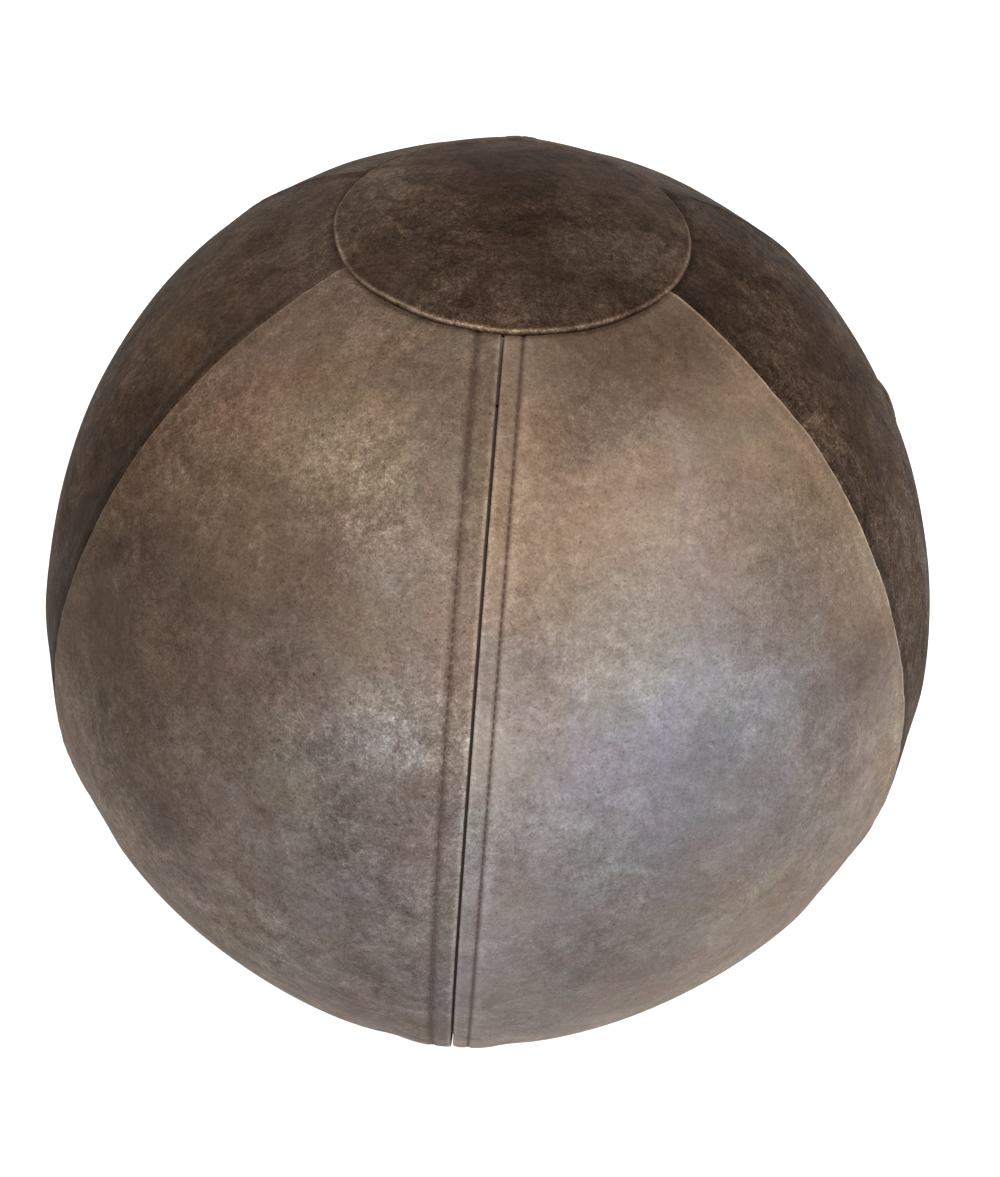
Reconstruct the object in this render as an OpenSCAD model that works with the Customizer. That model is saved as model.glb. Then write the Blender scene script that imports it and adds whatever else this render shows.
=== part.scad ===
// A fabric-covered sitting ball. Six sewn gores and two round caps hold an inflated inner ball,
// a concealed zip closes the front seam, and a carry handle crosses the back right seam.
// Millimetres, +Z up. The origin is the middle of the flat patch that the ball rests on.
// The zip faces -Y. An azimuth of 0 is the zip, and 90 is the right-hand side, +X.

/* [Cover] */
// Radius of the cover at half height, in the middle of a gore
gore_r = 320; // [290:5:350]
// How far behind the ball's axis the centre of the meridian arc lies, which makes the ball taller
arc_back = 28; // [20:1:34]
// How far behind the ball's axis each gore is turned from, which makes the seams stand out
axis_back = 56; // [46:2:66]
// Radius of the round caps at the top and the bottom
cap_r = 107; // [98:1:116]
// Thickness of the cover's cloth
cloth = 2; // [1.6:0.1:2.4]
// How far a cap stands above the gores around it
cap_proud = 1.5; // [1:0.1:1.9]
// Radius of the flat patch under the ball
flat_r = 48; // [36:2:60]

/* [Inner ball] */
// Distance from the cover's outer face to the inner ball
ball_gap = 3; // [2.8:0.1:3.2]
// Wall thickness of the inner ball
ball_wall = 1.6; // [1.4:0.1:2]
// Azimuth of the air valve
valve_az = 30; // [24:1:36]
// Diameter of the valve's bore
valve_bore = 9; // [8:0.5:10]

/* [Zip] */
// Gap between the two lips that hide the zip
lip_gap = 2.2; // [2:0.1:2.6]
// Width of each lip, from the gap to its outer edge
lip_w = 15; // [15:0.5:18]
// Height of the lips' outer face above the middle of a gore
lip_rise = 5.3; // [5.2:0.1:5.6]
// Angle below half height at which the closed slider rests
slider_down = 52; // [46:1:56]
// Angle above half height that the open slider reaches
slider_up = 58; // [50:1:59]
// Length of the slider along the zip
slider_len = 12; // [10:0.5:14]
// Length of the pull tab from its pin to its tip
tab_len = 30; // [24:1:34]
// Distance from the middle of the zip to the left row of topstitching
stitch_left = 13.8; // [11:0.2:14]
// Distance from the middle of the zip to the right row of topstitching
stitch_right = 11; // [10:0.2:13]

/* [Handle] */
// Azimuth of the seam that the handle crosses
handle_az = 120; // [120, 180, 240]
// Angle above half height at which the handle lies
handle_lat = 14; // [8:1:36]
// Width of the strap
strap_w = 38; // [30:1:45]
// Thickness of the strap, which is folded cloth
strap_t = 3; // [2.5:0.1:4]
// Free length of the arch between its two sewn ends, measured flat
arch_span = 220; // [160:5:230]
// Height of the arch's underside above the cover
arch_rise = 30; // [18:1:36]
// Length of each sewn end
end_len = 24; // [18:1:30]

/* [Hidden] */
$fn = 96;

far = 500;                       // larger than the ball, for cutting tools
gore_half = 30;                  // half of a gore's 60 degrees
rho = gore_r + arc_back;         // radius of the meridian arc

// Every face of the ball is an offset of one meridian: an arc of radius rho, then a round cap
// that starts at the angle cap_lat and is centred on the axis at the height cap_z.
cap_lat = acos((cap_r + arc_back) / rho);
cap_rho = cap_r / cos(cap_lat);
cap_z = (rho - cap_rho) * sin(cap_lat);
cap_face = cap_rho + cap_proud;
middle_z = cap_z + sqrt(cap_face * cap_face - flat_r * flat_r);

// A seam runs where two gores meet, and is an arc too: through its radius at half height
// and its height at the cap's edge.
function seam_radius(x) = sqrt(pow(x + axis_back, 2) - pow(axis_back * sin(gore_half), 2))
    - axis_back * cos(gore_half);
seam_r = seam_radius(gore_r);
cap_edge_x = sqrt(pow(cap_r + axis_back * cos(gore_half), 2)
    + pow(axis_back * sin(gore_half), 2)) - axis_back;
cap_edge_z = sqrt(rho * rho - pow(cap_edge_x + arc_back, 2));
seam_back = (cap_r * cap_r + cap_edge_z * cap_edge_z - seam_r * seam_r)
    / (2 * (seam_r - cap_r));
seam_rho = seam_r + seam_back;

thread_d = 0.8;                  // diameter of the topstitching and seam thread
cap_thread_d = 0.6;              // diameter of the thread under the caps
allowance_t = 1.6;               // thickness of a seam allowance
allowance_slit = 1;              // slit between two allowances, where the thread lies
turn_w = 6;                      // width of a cap's edge, which is turned under and sewn
turn_t = 1.4;                    // how far the turned edge stands below the cap
skin_gap = 0.1;                  // gap between two pieces of cloth that lie on each other
ball_steps = 60;                 // straight steps along half of the inner ball's outline

// The zip's layers, as radii about the axis that the slider turns on.
ball_rho = rho - ball_gap;
slider_low = ball_rho + 0.4;
slider_plate = 1;
play = 0.3;                      // clearance between the slider and what it runs on
coil_t = 2.4;
coil_low = slider_low + slider_plate + play;
coil_high = coil_low + coil_t;
slider_high = coil_high + play + slider_plate;
lip_high = rho + lip_rise;
lip_low = lip_high - cloth;
tape_t = 0.8;
tape_low = (coil_low + coil_high - tape_t) / 2;
coil_in = 0.75;                  // half of the gap that the slider's neck runs in
coil_out = 3.5;
neck_w = 0.9;
slider_w = 10.4;
flange_w = 1.4;
tape_bend = [7, 9.5];            // where the tape rises from the coil to the lip's underside
tape_out = 13.4;
leg_w = 2;                       // width of the fold at a lip's outer edge
crown_w = 1.4;                   // thickness of the slider's crown, which holds the tab's pin
crown_r = 2.4;
pin_d = 1.5;
pin_hole = 2;
pin_rho = lip_high + 3.2;
tab_w = 9;
tab_t = 1.4;
arm_w = 1.2;
arm_gap = 0.4;
stop_angle = slider_down + 1.3;  // where the top stops begin, below the closed slider
half_slider = slider_len / 2 / coil_high * 180 / PI;
coil_top = slider_up + 2;
stop_span = 0.9;

cover_tone = [0.40, 0.35, 0.31];
dark_tone = [0.30, 0.26, 0.23];
thread_tone = [0.28, 0.24, 0.21];

// ---- Helpers ----

// Turns a piece drawn with +X outward to an azimuth
module at_azimuth(az) rotate([0, 0, az - 90]) children();

// Lifts a piece drawn about the ball's middle to its height above the ground
module on_ground() translate([0, 0, middle_z]) children();

// A point of the meridian, inset from the cover's outer face
function meridian_point(lat, inset) = abs(lat) <= cap_lat
    ? [(rho - inset) * cos(lat) - arc_back, (rho - inset) * sin(lat)]
    : [(cap_rho - inset) * cos(lat), sign(lat) * cap_z + (cap_rho - inset) * sin(lat)];

// The half-plane area inside the meridian, in short straight steps
module meridian(inset) {
    step = 180 / ball_steps;
    polygon(concat(
        [for (i = [1:ball_steps - 1]) meridian_point(i * step - 90, inset)],
        [for (side = [1, -1]) [0, side * (cap_z + cap_rho - inset)]]));
}

// A profile of [radius, x] swept along the zip from one angle to another
module along_zip(from, to)
    translate([0, arc_back, 0]) rotate([90, 0, -90]) rotate([0, 0, from])
        rotate_extrude(angle = to - from) children();

// A rectangle in the zip's profile, from x0 to x1 on the given side of the gap
module zip_box(r0, r1, x0, x1, side)
    translate([r0, side > 0 ? -x1 : x0]) square([r1 - r0, x1 - x0]);

// The wedge of space that belongs to one gore
module wedge()
    linear_extrude(height = 2 * far, center = true)
        polygon([[0, 0], [far, far * tan(gore_half)], [far, -far * tan(gore_half)]]);

// ---- Cover ----

// The curved panel of one gore, turned about its own set-back axis
module panel()
    translate([-axis_back, 0, 0]) rotate([0, 0, -gore_half - 2])
        rotate_extrude(angle = 2 * gore_half + 4)
            intersection() {
                translate([axis_back - arc_back, 0]) difference() {
                    circle(r = rho);
                    circle(r = rho - cloth);
                }
                translate([0, -rho]) square([far, 2 * rho]);
            }

// The seam allowance turned inward along one side of a gore
module allowance(side)
    rotate([0, 0, side * gore_half])
        translate([0, side > 0 ? -allowance_slit / 2 : allowance_slit / 2 + allowance_t, 0])
            rotate([90, 0, 0]) linear_extrude(height = allowance_t) intersection() {
                difference() {
                    translate([-seam_back, 0]) circle(r = seam_rho - cloth / 2);
                    translate([-arc_back, 0]) circle(r = ball_rho + 0.6);
                }
                half_height = cap_edge_z - 3;
                translate([cap_r, -half_height]) square([far, 2 * half_height]);
            }

// A whole gore, drawn with +X outward; sides lists the seams that have an allowance
module gore_shape(sides)
    difference() {
        intersection() {
            union() {
                panel();
                for (side = sides) allowance(side);
            }
            wedge();
        }
        cylinder(r = cap_r, h = 2 * far, center = true);
    }

// The folded lip that hides half of the zip, with the fold at its outer edge
module lip(side)
    difference() {
        along_zip(-cap_lat, cap_lat) {
            zip_box(lip_low, lip_high, lip_gap / 2, lip_gap / 2 + lip_w, side);
            zip_box(ball_rho + 1, lip_high, lip_gap / 2 + lip_w - leg_w, lip_gap / 2 + lip_w, side);
        }
        cylinder(r = cap_r, h = 2 * far, center = true);
    }

// A front gore: its panel stops at the lip's outer edge
module front_gore(side) {
    inner_edge = lip_gap / 2 + lip_w - leg_w / 2;
    difference() {
        at_azimuth(side * gore_half) gore_shape([side]);
        translate([-inner_edge, -far, -far]) cube([2 * inner_edge, far, 2 * far]);
    }
    lip(side);
}

module plain_gore(az) color(cover_tone) on_ground() at_azimuth(az) gore_shape([-1, 1]);

module gore_front_left() color(cover_tone) on_ground() front_gore(-1);
module gore_front_right() color(cover_tone) on_ground() front_gore(1);
module gore_right() plain_gore(90);
module gore_back_right() plain_gore(150);
module gore_back_left() plain_gore(210);
module gore_left() plain_gore(270);

// A round cap with its edge turned under, cut flat at a height above the ball's middle
module cap_shape(flat_at)
    rotate_extrude() difference() {
        intersection() {
            translate([0, cap_z]) circle(r = cap_face);
            translate([0, cap_z]) square([cap_r - skin_gap, flat_at - cap_z]);
        }
        translate([0, cap_z]) circle(r = cap_face - cloth - turn_t);
        intersection() {
            translate([0, cap_z]) circle(r = cap_face - cloth);
            square([cap_r - turn_w, flat_at - cloth]);
        }
    }

module top_cap() color(dark_tone) on_ground() cap_shape(far);
module bottom_cap() color(dark_tone) on_ground() mirror([0, 0, 1]) cap_shape(middle_z);

// ---- Sewing thread ----

// The row of stitches that joins the allowances, in each of the five plain seams
module gore_seam_threads()
    color(thread_tone) on_ground() for (az = [60:60:300])
        at_azimuth(az) rotate([90, 0, 0]) translate([-seam_back, 0, 0])
            rotate([0, 0, -thread_span()]) rotate_extrude(angle = 2 * thread_span())
                translate([seam_rho - cloth - 1, 0]) circle(d = thread_d);

// The angle about the seam arc's centre at which the threads end, short of the caps
function thread_span() = asin((cap_edge_z - 4) / seam_rho);

// The ring of stitches under a cap's turned edge
module cap_thread()
    translate([0, 0, cap_z]) rotate_extrude() rotate([0, 0, cap_lat + 0.7])
        translate([(cap_face - cloth - turn_t + cap_rho - ball_gap) / 2, 0]) circle(d = cap_thread_d);

module top_cap_thread() color(thread_tone) on_ground() cap_thread();
module bottom_cap_thread() color(thread_tone) on_ground() mirror([0, 0, 1]) cap_thread();

// ---- Inner ball ----

// Stands a piece drawn along +Z on the inner ball at the valve, pointing outward from it
module at_valve() at_azimuth(valve_az) translate([ball_rho - arc_back, 0, 0]) rotate([0, 90, 0]) children();

seat_d = 24;
seat_flange_d = 34;
seat_h = 8;
seat_drop = 0.4;                 // the seat's face lies this far below the ball's face
head_d = 19.6;
head_t = 1.8;

module inner_ball()
    color("dimgray") on_ground() difference() {
        rotate_extrude() difference() {
            intersection() {
                meridian(ball_gap);
                translate([0, -middle_z + cloth + 0.6]) square([far, far + middle_z]);
            }
            intersection() {
                meridian(ball_gap + ball_wall);
                translate([0, -middle_z + cloth + 0.6 + ball_wall]) square([far, far + middle_z]);
            }
        }
        at_valve() cylinder(d = seat_d + 2 * skin_gap, h = 20, center = true);
    }

module valve_seat()
    color("black") on_ground() at_valve() difference() {
        union() {
            translate([0, 0, -seat_drop - seat_h]) cylinder(d = seat_d, h = seat_h);
            translate([0, 0, -ball_wall - 1.8]) cylinder(d = seat_flange_d, h = 1.2);
        }
        translate([0, 0, -seat_drop - head_t - 0.4]) cylinder(d = head_d + 0.4, h = far);
        cylinder(d = valve_bore, h = 4 * seat_h, center = true);
    }

module valve_plug()
    color("white") on_ground() at_valve() translate([0, 0, -seat_drop - head_t - 0.3]) {
        cylinder(d = head_d, h = head_t);
        translate([0, 0, -15]) cylinder(d = valve_bore - 0.3, h = 15.5);
        translate([0, 0, -11]) cylinder(d1 = valve_bore, d2 = valve_bore + 1.4, h = 4);
        translate([0, 0, -17]) cylinder(d1 = valve_bore - 3, d2 = valve_bore - 0.3, h = 2);
    }

// ---- Zip ----

// Half of the zip's tape: flat beside the coil, then rising to the underside of the lip
module zip_tape(side)
    color(thread_tone) on_ground() along_zip(-stop_angle - 4, coil_top + 3)
        polygon([for (p = [[tape_low, coil_out], [tape_low, tape_bend[0]],
                [lip_low - skin_gap - tape_t, tape_bend[1]], [lip_low - skin_gap - tape_t, tape_out],
                [lip_low - skin_gap, tape_out], [lip_low - skin_gap, tape_bend[1]],
                [tape_low + tape_t, tape_bend[0]], [tape_low + tape_t, coil_out]])
            [p[0], -side * p[1]]]);

module zip_tape_left() zip_tape(-1);
module zip_tape_right() zip_tape(1);

// Half of the coil, drawn as the space that its turns fill
module zip_coil(side)
    color("darkslategray") on_ground() along_zip(-stop_angle, coil_top)
        zip_box(coil_low, coil_high, coil_in, coil_out, side);

module zip_coil_left() zip_coil(-1);
module zip_coil_right() zip_coil(1);

module zip_top_stops()
    color("silver") on_ground() for (side = [-1, 1])
        along_zip(-stop_angle - stop_span, -stop_angle - 0.1)
            zip_box(coil_low, coil_high, coil_in, coil_out, side);

module zip_bottom_stop()
    color("silver") on_ground() along_zip(coil_top + 0.1, coil_top + 0.1 + stop_span)
        translate([coil_low, -coil_out]) square([coil_high - coil_low, 2 * coil_out]);

// Moves a piece drawn at half height on the front, outward along +X, to an angle on the zip
module on_zip(angle)
    translate([0, arc_back, 0]) rotate([90, 0, -90]) rotate([0, 0, angle]) children();

// One half of the slider's profile, with the slot that the tape runs through
module slider_side(side) {
    half = slider_w / 2;
    slot_low = tape_low - play;
    slot_high = tape_low + tape_t + play;
    zip_box(slider_low, slider_low + slider_plate, 0, half, side);
    zip_box(slider_low, slot_low, half - flange_w, half, side);
    zip_box(slider_high - slider_plate, slider_high, 0, half, side);
    zip_box(slot_high, slider_high, half - flange_w, half, side);
}

module zip_slider()
    color("silver") on_ground() {
        neck_span = half_slider / 2;
        along_zip(-slider_down - half_slider, -slider_down + half_slider) {
            slider_side(-1);
            slider_side(1);
        }
        along_zip(-slider_down + half_slider - neck_span, -slider_down + half_slider)
            translate([slider_low, -neck_w / 2]) square([slider_high - slider_low, neck_w]);
        on_zip(-slider_down) difference() {
            linear_extrude(height = crown_w, center = true) {
                translate([pin_rho, 0]) circle(r = crown_r);
                translate([slider_high - slider_plate / 2, -crown_r])
                    square([pin_rho - slider_high + slider_plate / 2, 2 * crown_r]);
            }
            translate([pin_rho, 0, 0]) cylinder(d = pin_hole, h = 4 * crown_w, center = true);
        }
    }

// The tab hangs straight down from its pin
module zip_pull_tab()
    color("silver") on_ground()
        on_zip(-slider_down) translate([pin_rho, 0, 0]) rotate([0, 0, slider_down - 90]) {
            span = crown_w / 2 + arm_gap + arm_w;
            cylinder(d = pin_d, h = 2 * span, center = true);
            for (side = [-1, 1])
                translate([0, 0, side * (span - arm_w / 2)])
                    linear_extrude(height = arm_w, center = true) {
                        circle(d = tab_t);
                        translate([0, -tab_t / 2]) square([7, tab_t]);
                    }
            rotate([90, 0, 0]) linear_extrude(height = tab_t, center = true) difference() {
                union() {
                    translate([5.5, -tab_w / 2]) square([tab_len - 5.5 - tab_w / 2, tab_w]);
                    translate([tab_len - tab_w / 2, 0]) circle(d = tab_w);
                }
                translate([tab_len - tab_w / 2, 0]) circle(d = 4);
            }
        }

// A row of topstitching, lying on a lip
module topstitch(side, distance)
    color(thread_tone) on_ground() along_zip(-cap_lat + 3, cap_lat - 1)
        translate([lip_high + thread_d / 2 + 0.05, -side * distance]) circle(d = thread_d);

module topstitch_left() topstitch(-1, stitch_left);
module topstitch_right() topstitch(1, stitch_right);

// ---- Handle ----

handle_x = seam_rho * cos(handle_lat) - seam_back;
handle_z = seam_rho * sin(handle_lat);
arch_steps = 36;
end_steps = 3;

// How far a point lies outside a gore's face. The point is [out, across, up] from the handle's
// middle, across grows with azimuth, and half a gore on either side is where its middle is.
function outside(out, across) = let(
        side = across < 0 ? -1 : 1,
        x = handle_x + out * cos(handle_lat),
        z = handle_z + out * sin(handle_lat),
        to_axis = norm([x + axis_back * cos(gore_half), across + side * axis_back * sin(gore_half)]))
    norm([to_axis - axis_back + arc_back, z]) - rho;

// Height of the cover at a place across the handle, found by stepping onto the face
function cover_height(across, out = 0, steps = 8) =
    steps == 0 ? out : cover_height(across, out - outside(out, across), steps - 1);

// Height of the strap's underside: on the cover at its ends, and an arch between them
function strap_height(across) = cover_height(across) + 0.25
    + (abs(across) < arch_span / 2 ? arch_rise * pow(cos(180 * across / arch_span), 2) : 0);

strap_places = [for (i = [-arch_steps - end_steps:arch_steps + end_steps])
    abs(i) <= arch_steps ? i / arch_steps * arch_span / 2
        : sign(i) * (arch_span / 2 + (abs(i) - arch_steps) / end_steps * end_len)];

// Stands a piece drawn with +X outward and +Y across the strap's length at the handle's middle
module at_handle()
    at_azimuth(handle_az) translate([handle_x, 0, handle_z]) rotate([0, -handle_lat, 0]) children();

module handle_strap()
    color(cover_tone) on_ground() at_handle() linear_extrude(height = strap_w, center = true)
        polygon(concat(
            [for (y = strap_places) [strap_height(y) + strap_t, y]],
            [for (i = [len(strap_places) - 1:-1:0]) [strap_height(strap_places[i]), strap_places[i]]]));

// A sewn square on each end of the strap
module handle_stitching()
    color(thread_tone) on_ground() at_handle() for (side = [-1, 1]) {
        from = side * (arch_span / 2 + 3);
        to = side * (arch_span / 2 + end_len - 3);
        rise = strap_height(to) - strap_height(from);
        run = to - from;
        translate([(strap_height(from) + strap_height(to)) / 2 + strap_t + 0.15, (from + to) / 2, 0])
            rotate([0, 0, -atan(rise / run)]) rotate([0, 90, 0])
                linear_extrude(height = thread_d) difference() {
                    square([strap_w - 6, abs(run)], center = true);
                    square([strap_w - 7.6, abs(run) - 1.6], center = true);
                }
    }

gore_front_left();
gore_front_right();
gore_right();
gore_back_right();
gore_back_left();
gore_left();
top_cap();
bottom_cap();
gore_seam_threads();
top_cap_thread();
bottom_cap_thread();
inner_ball();
valve_seat();
valve_plug();
zip_tape_left();
zip_tape_right();
zip_coil_left();
zip_coil_right();
zip_top_stops();
zip_bottom_stop();
zip_slider();
zip_pull_tab();
topstitch_left();
topstitch_right();
handle_strap();
handle_stitching();
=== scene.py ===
"""Looks for a fabric-covered sitting ball: six sewn gores, two round caps, a concealed zip and a carry strap.

Metres, +Z up. The origin is the middle of the patch that the ball rests on, and the zip faces -Y.
An azimuth of 0 is the zip and 90 is +X. A latitude is an angle about a meridian arc's own centre.
"""

import math

import bpy
import numpy as np
from mathutils import Matrix, Vector


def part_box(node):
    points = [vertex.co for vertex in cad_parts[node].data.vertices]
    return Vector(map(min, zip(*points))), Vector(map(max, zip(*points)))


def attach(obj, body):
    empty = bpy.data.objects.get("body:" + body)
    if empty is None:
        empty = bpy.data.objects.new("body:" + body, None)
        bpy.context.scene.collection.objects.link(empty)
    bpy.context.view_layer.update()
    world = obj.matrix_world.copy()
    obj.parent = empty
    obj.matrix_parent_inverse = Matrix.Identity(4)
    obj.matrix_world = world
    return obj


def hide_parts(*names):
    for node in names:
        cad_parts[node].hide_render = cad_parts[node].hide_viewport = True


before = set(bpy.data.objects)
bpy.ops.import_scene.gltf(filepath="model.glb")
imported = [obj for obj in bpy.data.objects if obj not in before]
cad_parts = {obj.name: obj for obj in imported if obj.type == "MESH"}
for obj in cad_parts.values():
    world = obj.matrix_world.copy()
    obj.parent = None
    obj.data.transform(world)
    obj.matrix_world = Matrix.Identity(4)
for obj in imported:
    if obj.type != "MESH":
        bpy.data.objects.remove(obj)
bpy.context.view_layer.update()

MM = 0.001

# ---- The ball's own dimensions, as in the CAD ----

GORE_R = float(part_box("gore_right")[1][0])  # radius at half height in the middle of a gore
ARC_BACK = 28 * MM  # how far behind the axis a meridian's centre lies
AXIS_BACK = 56 * MM  # how far behind the axis each gore is turned from
CAP_R = 107 * MM
CAP_PROUD = 1.5 * MM
FLAT_R = 48 * MM
CLOTH = 1.9 * MM  # a little thinner than the CAD's, to stay clear of the ball inside
GORE_HALF = math.radians(30)

RHO = GORE_R + ARC_BACK
CAP_LAT = math.acos((CAP_R + ARC_BACK) / RHO)
CAP_RHO = CAP_R / math.cos(CAP_LAT)
CAP_Z = (RHO - CAP_RHO) * math.sin(CAP_LAT)
CAP_FACE = CAP_RHO + CAP_PROUD
MIDDLE_Z = CAP_Z + math.sqrt(CAP_FACE**2 - FLAT_R**2)
MIDDLE = np.array([0, 0, MIDDLE_Z])
UP = np.array([0, 0, 1.0])

LIP_RHO = RHO + 5.3 * MM  # radius of the zip lips' outer face, about the zip's own axis
LIP_EDGE = 0.76 * MM  # half of the gap between the lips
LIP_END = math.radians(61.5)  # where the lips start to drop under the caps
LIP_DROP = 5.6 * MM  # how far they drop
STITCH_X = {-1: 13.8 * MM, 1: 11 * MM}  # where the rows of topstitching lie, left and right of the zip
STITCH_PITCH = 5 * MM
COIL_R = RHO - 0.1 * MM
COIL_FROM, COIL_TO = math.radians(-53.2), math.radians(59.9)

HANDLE_AZ = math.radians(120)
HANDLE_LAT = math.radians(14)
STRAP_W = 38 * MM
STRAP_T = 3 * MM
ARCH_SPAN = 220 * MM
ARCH_RISE = 30 * MM
END_LEN = 24 * MM
STRAP_ROW = STRAP_W / 2 - 4 * MM  # where the stitching along the strap's edges lies
STRAP_CROWN = 0.5 * MM


# ---- Smooth random waves ----


def smooth(x):
    """0 below 0, 1 above 1, and a smooth step between."""
    x = np.clip(x, 0, 1)
    return x * x * (3 - 2 * x)


RIPPLE_KNOTS = 2000


def ripple(s, pitch, seed):
    """Random waves along a length, about one for each pitch, between -1 and 1."""
    knots = np.random.default_rng(seed).uniform(-1, 1, RIPPLE_KNOTS)
    x = s / pitch + RIPPLE_KNOTS // 2
    i = np.floor(x).astype(int)
    f = smooth(x - i)
    return knots[i] * (1 - f) + knots[i + 1] * f


def swell(points, wave, seed, terms=9):
    """Random soft waves through space, of about one wavelength, mostly between -1 and 1."""
    rng = np.random.default_rng(seed)
    total = np.zeros(points.shape[:-1])
    for _ in range(terms):
        way = rng.normal(size=3)
        way /= np.linalg.norm(way)
        length = wave * rng.uniform(0.7, 1.5)
        total += np.sin(points @ way * (2 * math.pi / length) + rng.uniform(0, 2 * math.pi))
    return total / math.sqrt(terms)


# ---- The cover's surface ----


def unit(vectors):
    return vectors / np.linalg.norm(vectors, axis=-1, keepdims=True)


def axes(azimuth):
    """The outward and the sideways direction at an azimuth in radians."""
    out = np.array([math.sin(azimuth), -math.cos(azimuth), 0])
    across = np.array([math.cos(azimuth), math.sin(azimuth), 0])
    return out, across


def direction(azimuth, height):
    """The direction from the ball's middle at an azimuth and an angle of height, in degrees."""
    a, h = math.radians(azimuth), math.radians(height)
    return np.array([math.sin(a) * math.cos(h), -math.cos(a) * math.cos(h), math.sin(h)])


def gore_width(lat):
    """How far a gore's surface lies from the gore's own axis."""
    return AXIS_BACK - ARC_BACK + RHO * np.cos(lat)


def seam_angle(lat, q):
    """The angle about a gore's own axis at which its surface is q from the seam's plane."""
    return GORE_HALF - np.arcsin((AXIS_BACK / 2 + q) / gore_width(lat))


def gore_point(azimuth, lat, turn):
    """Points of a gore's smooth surface and their normals."""
    out, across = axes(azimuth)
    width = gore_width(lat)
    place = (
        (width * np.cos(turn) - AXIS_BACK)[..., None] * out
        + (width * np.sin(turn))[..., None] * across
        + (RHO * np.sin(lat))[..., None] * UP
    )
    normal = (
        (np.cos(lat) * np.cos(turn))[..., None] * out
        + (np.cos(lat) * np.sin(turn))[..., None] * across
        + np.sin(lat)[..., None] * UP
    )
    return place, normal


def fillet(q, width, depth):
    """Height of an edge that rounds over and down at q = 0."""
    f = 1 - np.clip(q / width, 0, 1)
    return -depth * (1 - np.sqrt(np.maximum(1 - f * f, 0)))


def bell(x, middle, width):
    """1 at the middle, and a soft fall to 0 on both sides."""
    return np.exp(-(((x - middle) / width) ** 2))


# ---- Tone of the cloth: lighter or darker, and warm or cool, partly brushed nap and partly painted light and shade ----

# Soft patches, partly brushed nap and partly painted light: a painted highlight in the middle of the front
# right, a painted cool reflection below it, and painted shade towards the top and the bottom. Each has the
# azimuth and height of its middle as seen from the ball's middle, its radius, all in degrees, and how much
# lighter (in stops) and cooler it is
NAP_AND_LIGHT_PATCHES = [
    (12, 45, 24, 0.55, -0.1),
    (22, 31, 13, 0.0, 0.6),
    (4, 8, 28, 0.0, 0.5),
    (14, 2, 14, -0.45, 0.05),
    (38, 24, 14, 0.0, 0.4),
    (0, 8, 45, 0.0, 0.12),
    (7, 63, 6, -0.35, -0.1),
    (7, 53, 7, -0.4, -0.3),
    (5, 43, 7, -0.4, 0.0),
    (34, 37, 9, 0.5, 0.1),
    (42, 53, 7, 0.3, 0.0),
    (55, 29, 7, -0.9, 0.0),
    (52, 68, 6, -1.1, -0.2),
    (28, 71, 9, -1.6, -0.2),
    (-27, 73, 12, -0.5, -0.1),
    (-30, 58, 11, 0.3, -0.2),
    (-25, 46, 12, -0.4, 0.0),
    (-50, 28, 20, -1.0, 0.0),
    (-18, 22, 16, -0.15, 0.1),
    (-11, 32, 7, 0.65, 0.1),
    (-10, 50, 6, 0.35, 0.0),
    (-9, 40, 6, 0.3, 0.0),
    (-44, 17, 9, -0.6, 0.1),
    (-32, 8, 9, -0.5, 0.1),
    (-60, 44, 7, -0.5, 0.0),
    (46, 42, 15, -0.9, 0.0),
    (66, 32, 16, 1.0, 0.0),
    (74, 56, 16, -0.2, -0.4),
    (-70, 44, 24, -0.3, -0.5),
    (105, 67, 13, -1.0, -0.3),
    (-80, 77, 8, 0.35, -0.1),
    (-1, 73, 6, 0.8, 0.0),
    (57, 76, 8, 1.0, 0.2),
    (80, 87, 8, -1.1, -0.3),
    (180, 66, 14, 0.1, -0.6),
]


def nap_and_painted_light(points):
    """How light and how cool the cloth is at each point, from the soft patches of brushed nap and painted
    light and shade.
    """
    ways = unit(points)
    light = np.zeros(points.shape[:-1])
    cool = np.zeros(points.shape[:-1])
    for azimuth, height, radius, lighter, cooler in NAP_AND_LIGHT_PATCHES:
        apart = np.degrees(np.arccos(np.clip(ways @ direction(azimuth, height), -1, 1)))
        near = bell(apart, 0, radius)
        light += lighter * near
        cool += cooler * near
    return light, cool


# ---- Meshes ----


def mesh_object(name, points, faces, material, attributes=()):
    """A smooth-shaded object, with the attributes' values painted on its points."""
    mesh = bpy.data.meshes.new(name)
    mesh.from_pydata([tuple(p) for p in points], [], faces)
    mesh.polygons.foreach_set("use_smooth", [True] * len(mesh.polygons))
    for key, values in dict(attributes).items():
        layer = mesh.attributes.new(key, "FLOAT", "POINT")
        layer.data.foreach_set("value", np.asarray(values, np.float32))
    mesh.materials.append(material)
    mesh.update()
    piece = bpy.data.objects.new(name, mesh)
    bpy.context.scene.collection.objects.link(piece)
    return piece


def grid_faces(rows, cols, start=0, flip=False):
    """Quads of a grid of points that are stored row by row."""
    i, j = np.meshgrid(np.arange(rows - 1), np.arange(cols - 1), indexing="ij")
    a = (start + i * cols + j).ravel()
    quads = np.stack([a, a + 1, a + cols + 1, a + cols], axis=1)
    return quads[:, ::-1] if flip else quads


def ring_faces(rings, sides, start=0, flip=False, open_start=False):
    """Faces of a tube of points that are stored ring by ring, with its ends closed."""
    index = start + np.arange(rings * sides).reshape(rings, sides)
    b, c = index[:-1], index[1:]
    faces = np.stack([b, np.roll(b, -1, axis=1), np.roll(c, -1, axis=1), c], axis=-1).reshape(-1, 4).tolist()
    if not open_start:
        faces.append(index[0, ::-1].tolist())
    faces.append(index[-1].tolist())
    return [face[::-1] for face in faces] if flip else faces


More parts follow.
